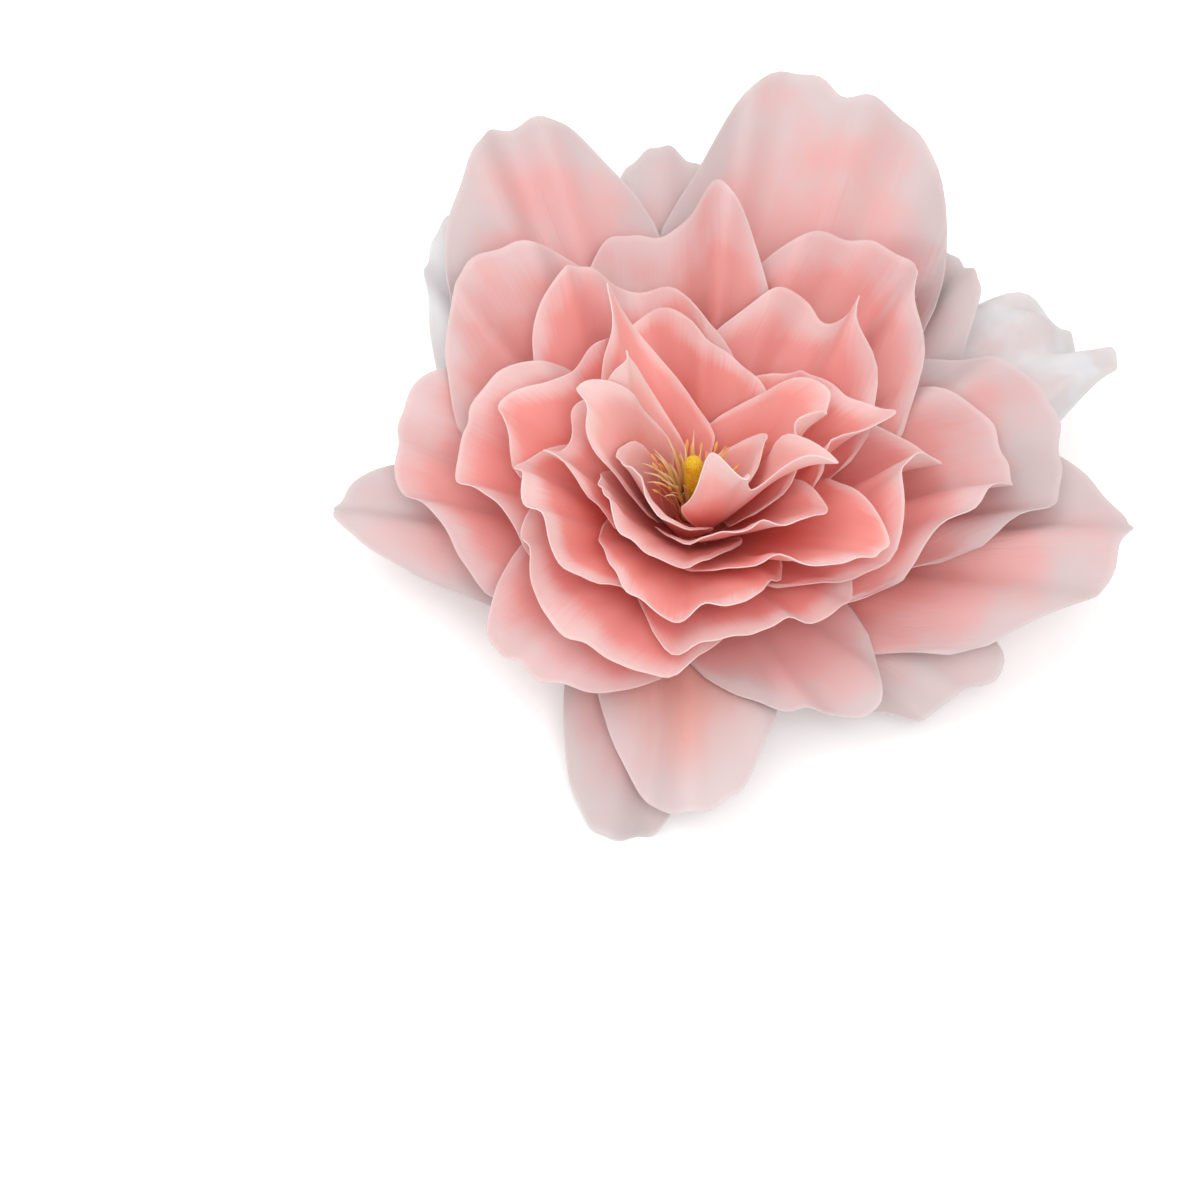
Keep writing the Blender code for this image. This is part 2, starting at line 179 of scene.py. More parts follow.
class Petal:
    """One petal: its place in the fan, its blank, and how it was cupped and fluted.

    Its width and rim are in hundredths of PETAL_REACH. rim gives the length from claw to rim at even
    places from one side to the other, and waves how far the rim leans out of the petal's shell
    there, as a share of the fan. shoulder is how much of its length is left at its two sides, lean
    how far one side lies outside the other, flare how far its rim opens and lip how far it rolls.
    """

    def __init__(self, name, azimuth, shell, width, rim, waves=(0.0, 0.0), shoulder=0.72, lean=0.045,
                 flare=0.010, lip=0.010, across=SHEET_ACROSS, along=SHEET_ALONG):
        self.name = name
        self.azimuth = radians(azimuth)
        self.shell = shell
        self.width = width / 100 * PETAL_REACH
        self.rim = [length / 100 * PETAL_REACH for length in rim]
        self.waves = waves
        self.shoulder = shoulder
        self.lean = lean
        self.flare = flare
        self.lip = lip
        self.across = across
        self.along = along

    def points(self, u, v):
        """Points of the sheet: u runs across from -1 to 1, v from the claw at 0 to the rim at 1."""
        start = 7 * self.azimuth + 23 * self.shell
        crown = (1 - np.abs(u) ** CROWN_ROUNDNESS) ** 0.5
        rim = curve_through(self.rim, u) * (self.shoulder + (1 - self.shoulder) * crown)
        rim = rim * (1 + sum(height * np.sin(count * u + own * start)
                             for count, height, own in RIM_RIPPLES))
        along = rim * v
        share = along / max(self.rim)
        spread = smooth(np.sqrt(share * v) / WIDEST_AT)
        middle = on_shell(np.full_like(u, self.shell), along, np.full_like(u, self.azimuth))
        radius = np.hypot(middle[..., 0], middle[..., 1])
        half = (CLAW_WIDTH + (self.width - CLAW_WIDTH) * spread) / 2
        azimuth = self.azimuth + u * np.minimum(half / radius, MOST_WRAP)
        shell = self.shell + self.lean * u + self.flare * share ** 4
        shell = shell + curve_through(self.waves, u) * share ** 2
        lip = smooth((v - LIP_STARTS) / (1 - LIP_STARTS)) * (0.6 + 0.4 * np.sin(5 * u + start))
        ruffles, height, own = RUFFLES
        shell = shell + self.lip * lip + height * share ** 6 * np.sin(ruffles * u + own * start)
        points = on_shell(shell, along, azimuth)
        points[..., 2] = above_table(points[..., 2])
        return points


def petals():
    """Every petal, from the innermost ring outwards."""
    fold = (0.03, -0.005, -0.03, 0.0, 0.03)
    swell = (0.010, -0.010, 0.010, -0.010, 0.010)
    turn = (-0.010, 0.010, -0.008, 0.010, -0.010)
    return [
        Petal("heart_petal_front_right", -49, 0.13, 32, (50, 51, 34, 50, 46), shoulder=0.85,
              lean=0.03),
        Petal("heart_petal_front_left", -144, 0.12, 32, (30, 32, 36, 36, 29), shoulder=0.8),
        Petal("heart_petal_left", 168, 0.12, 26, (30, 44, 47, 38, 26)),
        Petal("heart_petal_back", 140, 0.13, 20, (24, 40, 50, 42, 28), lean=0.03),
        Petal("heart_petal_right", 8, 0.11, 22, (20, 28, 30, 28, 20)),

        Petal("inner_petal_point", 118, 0.235, 32, (26, 38, 60, 50, 33), fold, 0.8),
        Petal("inner_petal_left", 174, 0.235, 40, (33, 42, 37, 48, 33), swell),
        Petal("inner_petal_front_left", -124, 0.24, 44, (32, 40, 42, 36, 30), turn),
        Petal("inner_petal_front_right", -56, 0.24, 42, (32, 37, 42, 44, 38), swell),
        Petal("inner_petal_right", 18, 0.235, 42, (33, 47, 42, 46, 30), turn),

        Petal("bowl_petal_back", 82, 0.365, 50, (32, 38, 46, 55, 47)),
        Petal("bowl_petal_right", 29, 0.365, 49, (49, 55, 48, 46, 42), shoulder=0.8),
        Petal("bowl_petal_front_right", -38, 0.365, 50, (38, 48, 53, 50, 38)),
        Petal("bowl_petal_front", -96, 0.365, 52, (40, 46, 44, 46, 40), swell),
        Petal("bowl_petal_left", -154, 0.365, 52, (38, 50, 52, 48, 38), turn),
        Petal("bowl_petal_left_back", 144, 0.365, 52, (40, 51, 47, 55, 41), swell),

        Petal("cup_petal_front_left", -125, 0.50, 63, (49, 49, 51, 50, 44), swell, 0.8),
        Petal("cup_petal_front_right", -62, 0.50, 60, (49, 45, 44, 45, 41), swell, 0.8),
        Petal("cup_petal_right", -2, 0.50, 60, (44, 57, 61, 57, 46)),
        Petal("cup_petal_back_right", 53, 0.495, 56, (56, 71, 62, 65, 52), turn),
        Petal("cup_petal_back_left", 112, 0.50, 61, (54, 62, 69, 73, 57), swell),
        Petal("cup_petal_left", 168, 0.50, 59, (56, 60, 58, 54, 46), swell, 0.8),

        Petal("mid_petal_top", 93, 0.66, 56, (78, 92, 80, 84, 77), swell, lean=0.03),
        Petal("mid_petal_top_right", 52, 0.655, 62, (77, 87, 90, 85, 77), swell),
        Petal("mid_petal_top_left", 130, 0.655, 59, (68, 81, 87, 84, 73), turn),
        Petal("mid_petal_left", 170, 0.745, 73, (77, 77, 72, 61, 55), lean=0.01),
        Petal("mid_petal_front_left", -132, 0.655, 50, (50, 57, 59, 54, 47), swell),
        Petal("mid_petal_right", 6, 0.655, 67, (62, 72, 77, 77, 67), turn),

        Petal("guard_petal_top_left", 118, 0.775, 65, (104, 118, 118, 109, 89), shoulder=0.84, lean=0.0),
        Petal("guard_petal_top", 67, 0.83, 75, (100, 121, 126, 123, 129, 121, 103), shoulder=0.86,
              lean=0.0),
        Petal("guard_petal_right_back", 13, 0.78, 60, (82, 90, 93, 92, 82), lean=0.0),
        Petal("guard_petal_right", -5, 0.86, 63, (84, 97, 103, 104, 94), shoulder=0.8, lean=0.0),
        Petal("guard_petal_front_right", -59, 0.79, 44, (46, 51, 57, 62, 57), lean=0.0),
        Petal("guard_petal_front", -92, 0.84, 47, (50, 66, 72, 69, 53), shoulder=0.8, lean=0.0),

        Petal("outer_petal_top", 92, 0.935, 44, (95, 109, 113, 110, 95), lean=0.0),
        Petal("outer_petal_upper_right", 46, 0.89, 47, (94, 103, 105, 103, 94), lean=0.0),
        Petal("outer_petal_far_right", 30, 0.96, 46, (97, 126, 121, 123, 105), lean=0.0),
        Petal("outer_petal_lower_right", -34, 0.93, 46, (56, 66, 73, 79, 71), lean=0.0),
        Petal("outer_petal_bottom", -106, 0.93, 45, (45, 67, 75, 74, 62), lean=0.0),
        Petal("outer_petal_left_tip", 178, 0.93, 44, (72, 82, 86, 76, 56), lean=0.0),
        Petal("outer_petal_upper_left", 134, 0.885, 46, (98, 106, 101, 87, 76), lean=0.0),

        Petal("under_petal_back", 96, 1.03, 42, (65, 74, 75, 74, 65), lean=0.0, lip=0.0),
        Petal("under_petal_left", 152, 1.0, 40, (60, 70, 71, 70, 60), lean=0.0, lip=0.0),
        Petal("under_petal_right", 38, 1.0, 40, (65, 74, 75, 74, 65), lean=0.0, lip=0.0),
    ]


def sepals():
    """The green crepe sepals under the petals."""
    return [Petal(f"sepal_{k + 1}", 90 + 360 / SEPAL_COUNT * k, 1.12, 13, (17, 22, 25, 22, 17),
                  shoulder=0.6, lean=0.02, flare=0.0, lip=0.0, across=16, along=16)
            for k in range(SEPAL_COUNT)]


# Modelling helpers

def start_clean():
    """Nothing is selected before a primitive is added."""
    for obj in bpy.context.selected_objects:
        obj.select_set(False)


def add_modifier(obj, kind, **settings):
    """Adds a modifier and applies it."""
    start_clean()
    obj.select_set(True)
    bpy.context.view_layer.objects.active = obj
    bpy.ops.object.modifier_add(type=kind)
    modifier = obj.modifiers[-1]
    for name, value in settings.items():
        setattr(modifier, name, value)
    bpy.ops.object.modifier_apply(modifier=modifier.name)


def add_strip(name, across, along, place):
    """A grid of paper, put in its shape by place(u, v), with its UV map running along it."""
    start_clean()
    bpy.ops.mesh.primitive_grid_add(x_subdivisions=across, y_subdivisions=along, size=2,
                                    calc_uvs=True, location=(0, 0, 0))
    strip = bpy.context.active_object
    strip.name = name
    flat = np.empty(3 * len(strip.data.vertices))
    strip.data.vertices.foreach_get("co", flat)
    flat = flat.reshape(-1, 3)
    points = place(flat[:, 0], (flat[:, 1] + 1) / 2)
    strip.data.vertices.foreach_set("co", np.ascontiguousarray(points).ravel())
    strip.data.update()
    return strip


def thicken(obj, thickness=PAPER):
    """Gives a sheet the thickness of its paper."""
    add_modifier(obj, "SOLIDIFY", thickness=thickness, offset=0, use_even_offset=False)
    start_clean()
    obj.select_set(True)
    bpy.context.view_layer.objects.active = obj
    bpy.ops.object.mode_set(mode="EDIT")
    bpy.ops.mesh.select_all(action="SELECT")
    bpy.ops.mesh.normals_make_consistent(inside=False)
    bpy.ops.object.mode_set(mode="OBJECT")
    bpy.ops.object.shade_smooth_by_angle(angle=SMOOTH_BELOW)


def join(pieces, name):
    """Joins pieces into one object."""
    start_clean()
    for piece in pieces:
        piece.select_set(True)
    bpy.context.view_layer.objects.active = pieces[0]
    bpy.ops.object.join()
    joined = bpy.context.active_object
    joined.name = name
    return joined


def finish_piece(obj, material, node):
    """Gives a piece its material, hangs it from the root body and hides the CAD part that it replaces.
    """
    obj.data.materials.clear()
    obj.data.materials.append(material)
    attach(obj, "root")
    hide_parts(node)


# Materials

def add_node(tree, kind, **settings):
    """Adds a shader node with its settings."""
    made = tree.nodes.new(kind)
    for name, value in settings.items():
        setattr(made, name, value)
    return made


def feed(tree, socket, value):
    """Links a socket to another, or writes a plain number or colour on it."""
    if isinstance(value, bpy.types.NodeSocket):
        tree.links.new(value, socket)
    elif isinstance(value, tuple):
        socket.default_value = (*value, 1)
    else:
        socket.default_value = value


def math(tree, operation, *values):
    """A Math node on sockets or plain numbers. Returns its output."""
    made = add_node(tree, "ShaderNodeMath", operation=operation)
    for socket, value in zip(made.inputs, values):
        feed(tree, socket, value)
    return made.outputs[0]


def ease(tree, value, start, end):
    """0 before start, 1 after end and smooth between them."""
    made = add_node(tree, "ShaderNodeMapRange", interpolation_type="SMOOTHSTEP")
    feed(tree, made.inputs["Value"], value)
    feed(tree, made.inputs["From Min"], start)
    feed(tree, made.inputs["From Max"], end)
    return made.outputs["Result"]


def blend(tree, share, a, b):
    """Mixes two colours, given as sockets or as plain colours. Returns the result."""
    made = add_node(tree, "ShaderNodeMix", data_type="RGBA")
    open_inputs = [socket for socket in made.inputs if socket.enabled]
    for socket, value in zip(open_inputs, (share, a, b)):
        feed(tree, socket, value)
    return [socket for socket in made.outputs if socket.enabled][0]


def stretched_noise(tree, vector, stretch, scale, detail, roughness=0.5):
    """Noise on a stretched place or map."""
    mapping = add_node(tree, "ShaderNodeMapping")
    mapping.inputs["Scale"].default_value = stretch
    tree.links.new(vector, mapping.inputs["Vector"])
    made = add_node(tree, "ShaderNodeTexNoise")
    made.inputs["Scale"].default_value = scale
    made.inputs["Detail"].default_value = detail
    made.inputs["Roughness"].default_value = roughness
    tree.links.new(mapping.outputs[0], made.inputs["Vector"])
    return made.outputs[0]


def add_bump(tree, shader, height, strength, distance):
    """Bump from a height, with its strength and its depth in metres."""
    bump = add_node(tree, "ShaderNodeBump")
    bump.inputs["Strength"].default_value = strength
    bump.inputs["Distance"].default_value = distance
    tree.links.new(height, bump.inputs["Height"])
    tree.links.new(bump.outputs[0], shader.inputs["Normal"])


def new_group(name, inputs, outputs):
    """A shader node group with named sockets."""
    group = bpy.data.node_groups.new(name, "ShaderNodeTree")
    for socket, kind in inputs:
        group.interface.new_socket(socket, in_out="INPUT", socket_type=kind)
    for socket, kind in outputs:
        group.interface.new_socket(socket, in_out="OUTPUT", socket_type=kind)
    start = add_node(group, "NodeGroupInput")
    end = add_node(group, "NodeGroupOutput")
    return group, start.outputs, end.inputs


# Dye along a petal, in shares of its length from the claw
DYE_STARTS = 0.25
STREAKS = 0.12
RIM_PALING = 0.55
RIM_EDGE = (0.972, 0.998)
SIDE_EDGE = (0.965, 0.995)
GRAIN_STRETCH = (70, 2.2, 1)
BLOTCH_SCALE = 26.0

# Crinkles and creases, by how many run across and along a petal
RIB_STRETCH = (150, 9, 1)
FOLD_STRETCH = (9, 0.8, 1)
CREASE_PATCHES = (3.1, 4.3, 1)
CREASE_WIDTH = 0.014
RIB_HEIGHT = 0.5


def petal_dye_group():
    """Dye that is deep at the claw and pale at the rim, with streaks along the grain and blotches."""
    group, given, out = new_group(
        "petal_dye",
        [("Map", "NodeSocketVector"), ("Place", "NodeSocketVector"), ("Claw", "NodeSocketColor"),
         ("Middle", "NodeSocketColor"), ("Tip", "NodeSocketColor"), ("Rim", "NodeSocketColor"),
         ("Turns At", "NodeSocketFloat"), ("Blotches", "NodeSocketFloat")],
        [("Colour", "NodeSocketColor"), ("Grain", "NodeSocketFloat"), ("Blotch", "NodeSocketFloat")])
    split = add_node(group, "ShaderNodeSeparateXYZ")
    group.links.new(given["Map"], split.inputs[0])
    doubled = math(group, "MULTIPLY", split.outputs[0], 2.0)
    across = math(group, "ABSOLUTE", math(group, "SUBTRACT", doubled, 1.0))
    grain = stretched_noise(group, given["Map"], GRAIN_STRETCH, 1.0, 4.0)
    blotch = stretched_noise(group, given["Place"], (1, 1, 1), BLOTCH_SCALE, 3.0, 0.45)
    wander = math(group, "MULTIPLY", math(group, "SUBTRACT", blotch, 0.5), given["Blotches"])
    streak = math(group, "MULTIPLY", math(group, "SUBTRACT", grain, 0.5), STREAKS)
    along = math(group, "ADD", split.outputs[1], math(group, "ADD", wander, streak))
    middle = ease(group, along, DYE_STARTS, given["Turns At"])
    dye = blend(group, middle, given["Claw"], given["Middle"])
    dye = blend(group, ease(group, along, given["Turns At"], 1.0), dye, given["Tip"])
    # A thin paler line along the rim and the sides of every petal
    edge = math(group, "MAXIMUM", ease(group, split.outputs[1], *RIM_EDGE),
                ease(group, across, *SIDE_EDGE))
    dye = blend(group, math(group, "MULTIPLY", edge, RIM_PALING), dye, given["Rim"])
    group.links.new(dye, out["Colour"])
    group.links.new(grain, out["Grain"])
    group.links.new(blotch, out["Blotch"])
    return group


def crinkle_group():
    """Fine crinkles of crepe along the grain, and a few long creases."""
    group, given, out = new_group(
        "crepe_crinkle", [("Map", "NodeSocketVector"), ("Creases", "NodeSocketFloat")],
        [("Height", "NodeSocketFloat"), ("Crease", "NodeSocketFloat")])
    ribs = stretched_noise(group, given["Map"], RIB_STRETCH, 1.0, 3.0)
    folds = stretched_noise(group, given["Map"], FOLD_STRETCH, 1.0, 2.0)
    ridge = math(group, "ABSOLUTE", math(group, "SUBTRACT", folds, 0.5))
    sparse = stretched_noise(group, given["Map"], CREASE_PATCHES, 1.0, 1.0)
    crease = math(group, "SUBTRACT", 1.0, ease(group, ridge, 0.0, CREASE_WIDTH))
    crease = math(group, "MULTIPLY", crease, ease(group, sparse, 0.52, 0.62))
    height = math(group, "SUBTRACT", math(group, "MULTIPLY", ribs, RIB_HEIGHT),
                  math(group, "MULTIPLY", crease, given["Creases"]))
    group.links.new(height, out["Height"])
    group.links.new(crease, out["Crease"])
    return group


def new_material(name):
    """A material with a Principled BSDF. Returns it with its tree and shader."""
    material = bpy.data.materials.new(name)
    material.use_nodes = True
    return material, material.node_tree, material.node_tree.nodes["Principled BSDF"]


def group_node(tree, group, **values):
    """Places a node group and sets its values by name."""
    made = add_node(tree, "ShaderNodeGroup", node_tree=group)
    for name, value in values.items():
        feed(tree, made.inputs[name.replace("_", " ")], value)
    return made


PETAL_DYE = petal_dye_group()
CRINKLE = crinkle_group()


# Finish of dyed crepe, with painted shade in its creases and painted glints on a few petals
LEAST_ROUGH = 0.44
GRAIN_ROUGH = 0.16
CREASE_DEPTH = 1.2
CREASE_SHADE = 0.45
# Painted highlight: the bluish-white colour of the glints, and how much glossier the paper is under them
PAINTED_GLINT = (0.78, 0.82, 0.88)
GLINT_GLOSS = 0.25
LIGHT_THROUGH = 0.7
LIGHT_SPREAD = 0.003


def pink_crepe(name, claw, middle, tip, rim, turns_at, blotches=0.35, painted_glint=0.0, crease_stripe_shade=0.0):
    """Dyed crepe for one ring of petals, with bluish-white painted glints and a stripe of painted crease
    shade where it has them.
    """
    material, tree, shader = new_material(name)
    grain_map = add_node(tree, "ShaderNodeUVMap").outputs[0]
    place = add_node(tree, "ShaderNodeTexCoord").outputs["Object"]
    dye = group_node(tree, PETAL_DYE, Map=grain_map, Place=place, Claw=claw, Middle=middle, Tip=tip,
                     Rim=rim, Turns_At=turns_at, Blotches=blotches)
    colour = dye.outputs["Colour"]
    rough = math(tree, "ADD", math(tree, "MULTIPLY", dye.outputs["Grain"], GRAIN_ROUGH), LEAST_ROUGH)
    split = add_node(tree, "ShaderNodeSeparateXYZ")
    tree.links.new(grain_map, split.inputs[0])
    # A deeper stripe of the middle colour down the petal's middle, fading towards the rim: painted shade
    # of a crease
    if crease_stripe_shade:
        aside = math(tree, "ABSOLUTE", math(tree, "SUBTRACT", split.outputs[0], 0.5))
        pale = math(tree, "MULTIPLY", ease(tree, aside, 0.0, 0.16), crease_stripe_shade)
        line = math(tree, "SUBTRACT", crease_stripe_shade, pale)
        fades = math(tree, "SUBTRACT", 1.0, ease(tree, split.outputs[1], 0.70, 0.98))
        colour = blend(tree, math(tree, "MULTIPLY", line, fades), colour, middle)
    # Bluish-white patches blended into the colour: painted glints, where the paper is glossier too
    if painted_glint:
        patch = math(tree, "MULTIPLY", ease(tree, dye.outputs["Blotch"], 0.42, 0.62), painted_glint)
        patch = math(tree, "MULTIPLY", patch, ease(tree, split.outputs[1], 0.35, 0.75))
        colour = blend(tree, patch, colour, PAINTED_GLINT)
        rough = math(tree, "SUBTRACT", rough, math(tree, "MULTIPLY", patch, GLINT_GLOSS))
    crinkle = group_node(tree, CRINKLE, Map=grain_map, Creases=CREASE_DEPTH)
    # Creases blended towards the deeper middle colour: painted shade in the folds
    crease = math(tree, "MULTIPLY", crinkle.outputs["Crease"], CREASE_SHADE)
    colour = blend(tree, crease, colour, middle)
    tree.links.new(colour, shader.inputs["Base Color"])
    add_bump(tree, shader, crinkle.outputs["Height"], 0.22, 0.0005)
    tree.links.new(rough, shader.inputs["Roughness"])
    shader.inputs["Subsurface Weight"].default_value = LIGHT_THROUGH
    shader.inputs["Subsurface Radius"].default_value = (0.8, 0.8, 0.8)
    shader.inputs["Subsurface Scale"].default_value = LIGHT_SPREAD
    shader.inputs["Sheen Weight"].default_value = 0.10
    shader.inputs["Sheen Roughness"].default_value = 0.5
    shader.inputs["Specular IOR Level"].default_value = 0.35
    return material


def plain_crepe(name, dark, light, stretch=(60, 60, 6), strength=0.5, roughness=0.75):
    """Crepe of one dye, darker and lighter along its crinkles, on the piece's own place."""
    material, tree, shader = new_material(name)
    place = add_node(tree, "ShaderNodeTexCoord").outputs["Object"]
    grain = stretched_noise(tree, place, stretch, 20.0, 4.0)
    tree.links.new(blend(tree, ease(tree, grain, 0.3, 0.7), dark, light), shader.inputs["Base Color"])
    add_bump(tree, shader, grain, strength, 0.0004)
    shader.inputs["Roughness"].default_value = roughness
    return material


def stamen_paper(name, foot, middle, tip):
    """Stamen paper: its colour changes from the foot to the tip by the piece's own map."""
    material, tree, shader = new_material(name)
    grain_map = add_node(tree, "ShaderNodeUVMap").outputs[0]
    split = add_node(tree, "ShaderNodeSeparateXYZ")
    tree.links.new(grain_map, split.inputs[0])
    grain = stretched_noise(tree, grain_map, (5, 2, 1), 3.0, 2.0)
    dye = blend(tree, ease(tree, split.outputs[1], 0.02, 0.30), foot, middle)
    dye = blend(tree, ease(tree, split.outputs[1], 0.62, 0.90), dye, tip)
    dye = blend(tree, math(tree, "MULTIPLY", grain, 0.18), dye, foot)
    tree.links.new(dye, shader.inputs["Base Color"])
    add_bump(tree, shader, grain, 0.4, 0.0003)
    shader.inputs["Roughness"].default_value = 0.7
    return material


def wire_steel():
    """Drawn florist's wire."""
    material, tree, shader = new_material("florist_wire_looks")
    place = add_node(tree, "ShaderNodeTexCoord").outputs["Object"]
    scratches = stretched_noise(tree, place, (400, 400, 12), 6.0, 3.0)
    dye = blend(tree, scratches, (0.32, 0.32, 0.33), (0.50, 0.50, 0.51))
    tree.links.new(dye, shader.inputs["Base Color"])
    rough = math(tree, "ADD", math(tree, "MULTIPLY", scratches, 0.25), 0.25)
    tree.links.new(rough, shader.inputs["Roughness"])
    shader.inputs["Metallic"].default_value = 1.0
    return material


RIM = (0.90, 0.66, 0.64)
RINGS = {
    "heart": pink_crepe("heart_crepe", (0.86, 0.19, 0.15), (0.90, 0.42, 0.39), (0.89, 0.60, 0.58),
                        RIM, 0.74),
    "inner": pink_crepe("inner_crepe", (0.90, 0.16, 0.12), (0.90, 0.34, 0.31), (0.87, 0.56, 0.54),
                        RIM, 0.80),
    "bowl": pink_crepe("bowl_crepe", (0.90, 0.16, 0.12), (0.90, 0.30, 0.27), (0.86, 0.54, 0.53),
                       RIM, 0.86),
    "cup": pink_crepe("cup_crepe", (0.88, 0.16, 0.12), (0.88, 0.31, 0.29), (0.81, 0.54, 0.53),
                      RIM, 0.80),
    "mid": pink_crepe("mid_crepe", (0.87, 0.17, 0.14), (0.84, 0.32, 0.30), (0.74, 0.51, 0.51),
                      (0.80, 0.61, 0.60), 0.75, 0.5),
    "guard": pink_crepe("guard_crepe", (0.85, 0.20, 0.17), (0.77, 0.37, 0.36), (0.61, 0.49, 0.49),
                        (0.68, 0.57, 0.57), 0.70, 0.6),
    "outer": pink_crepe("outer_crepe", (0.85, 0.23, 0.20), (0.75, 0.40, 0.39), (0.61, 0.51, 0.51),
                        (0.67, 0.59, 0.59), 0.58, 0.6),
    "under": pink_crepe("under_crepe", (0.70, 0.24, 0.22), (0.78, 0.48, 0.47), (0.74, 0.62, 0.61),
                        RIM, 0.55, 0.5),
}
OWN_CREPE = {
    # Painted shade of a crease down the middle of the front guard petal
    "guard_petal_front": pink_crepe("creased_crepe", (0.74, 0.20, 0.17), (0.84, 0.38, 0.34),
                                    (0.66, 0.53, 0.53), (0.71, 0.60, 0.60), 0.45, 0.4, crease_stripe_shade=0.8),
    # Painted glints on the two pale outer petals
    "outer_petal_far_right": pink_crepe("pearly_crepe", (0.74, 0.24, 0.21), (0.74, 0.52, 0.51),
                                        (0.72, 0.66, 0.66), (0.76, 0.72, 0.72), 0.50, 0.5, painted_glint=0.6),
}
OWN_CREPE["outer_petal_upper_left"] = OWN_CREPE["outer_petal_far_right"]
GREEN = plain_crepe("green_crepe_looks", (0.045, 0.085, 0.012), (0.11, 0.18, 0.035))
# The core paper is salmon-red, darkened as painted shade for the deep gaps between the petals where it
# shows
CORE = plain_crepe("core_paper_looks", (0.42, 0.06, 0.04), (0.60, 0.12, 0.09))
POLLEN = plain_crepe("yellow_pollen_looks", (0.62, 0.36, 0.01), (0.90, 0.62, 0.03), (60, 60, 60), 1.0,
                     0.9)
TAN = stamen_paper("tan_stamen_looks", (0.16, 0.06, 0.02), (0.78, 0.50, 0.18), (0.90, 0.72, 0.42))
PEACH = stamen_paper("peach_stamen_looks", (0.36, 0.12, 0.04), (0.88, 0.56, 0.30),
                     (0.88, 0.42, 0.14))


def dress_cad_nodes():
    """Materials for the CAD pieces that keep their own shape."""
    looks = {"stem_wire": wire_steel(), "stem_wrap": GREEN, "calyx_band": GREEN, "petal_core": CORE}
    for name, material in looks.items():
        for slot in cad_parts[name].material_slots:
            slot.material = material


def add_petals():
    """A sheet of crepe for every petal and sepal."""
    for petal in petals() + sepals():
        ring = petal.name.split("_")[0]
        sheet = add_strip("paper_" + petal.name, petal.across, petal.along, petal.points)
        thicken(sheet)
        if ring == "sepal":
            finish_piece(sheet, GREEN, petal.name)
        else:
            finish_piece(sheet, OWN_CREPE.get(petal.name, RINGS[ring]), petal.name)


# Stamens
POLLEN_RADIUS = 0.0046
POLLEN_TOP = 0.097
STAMEN_FOOT = CORE_TOP + GLUE_GAP
STAMEN_SIDE = radians(195)

# The tan strips
FRINGE_BAND = 0.012
FRINGE_COUNT = 30
FRINGE_LENGTH = 0.035
STRIP_LAYERS = 3
STRIP_LEAN = 9
STRIP_LEAN_STEP = 4.5
STRIP_CURL = 10
STRIP_CURL_STEP = 5
STRIP_PAPER = 0.0003
STRIP_HALF_WIDTH = 0.0013
STRIP_NARROWS = 0.0005
STRIP_START = 0.9 * FRINGE_BAND
FRINGE_THICKNESS = 0.0011

# The peach-tipped threads
THREAD_COUNT = 34
THREAD_LENGTH = 0.036
THREAD_START = 0.003
THREAD_LEAN = 22
THREAD_LEAN_SWING = 9
THREAD_SMOOTH_BELOW = radians(60)
THREAD_SIDES = 8
THREAD_STEPS = 22
THREAD_RADIUS = 0.00032
THREAD_TIP_SWELLS = 0.00055


def add_stamen_strips():
    """The tan strip round the pollen centre: a wound band whose top is cut into pointed strips."""
    inner = POLLEN_RADIUS + GLUE_GAP

    def band(u, v):
        turn = pi * (u + 1)
        radius = inner + PAPER + 0.0001 * (u + 1)
        height = STAMEN_FOOT + FRINGE_BAND * v
        return np.stack([radius * np.cos(turn), radius * np.sin(turn), height], axis=-1)

    strips = [add_strip("band", 64, 3, band)]
    for k in range(FRINGE_COUNT):
        turn = 2 * k / (FRINGE_COUNT - 1) - 1
        azimuth = STAMEN_SIDE + pi * turn * (0.4 + 0.6 * abs(turn))
        layer = k % STRIP_LAYERS
        lean = radians(STRIP_LEAN + STRIP_LEAN_STEP * layer + 2 * sin(2.6 * k))
        length = FRINGE_LENGTH * (0.78 + 0.18 * sin(1.9 * k + 0.5))
        curl = radians(STRIP_CURL + STRIP_CURL_STEP * layer + 5 * sin(4.3 * k))
        width = STRIP_HALF_WIDTH - STRIP_NARROWS * abs(turn)

        def strip(u, v, azimuth=azimuth, lean=lean, length=length, curl=curl, width=width,
                  layer=layer, k=k):
            half = width * np.minimum(0.45 + 1.2 * v, 1) * (1 - 0.9 * smooth((v - 0.55) / 0.45))
            angle = lean + curl * v ** 2
            out = inner + PAPER * (1 + layer) + length * v * np.sin(angle)
            side = azimuth + 0.06 * np.sin(2.2 * v + 1.7 * k) * v
            x = out * np.cos(side) - u * half * np.sin(side)
            y = out * np.sin(side) + u * half * np.cos(side)
            height = STAMEN_FOOT + STRIP_START + length * v * np.cos(angle)
            return np.stack([x, y, height], axis=-1)

        strips.append(add_strip("strip", 2, 12, strip))
    piece = join(strips, "paper_stamen_fringe")
    thicken(piece, STRIP_PAPER)
    finish_piece(piece, TAN, "stamen_fringe")


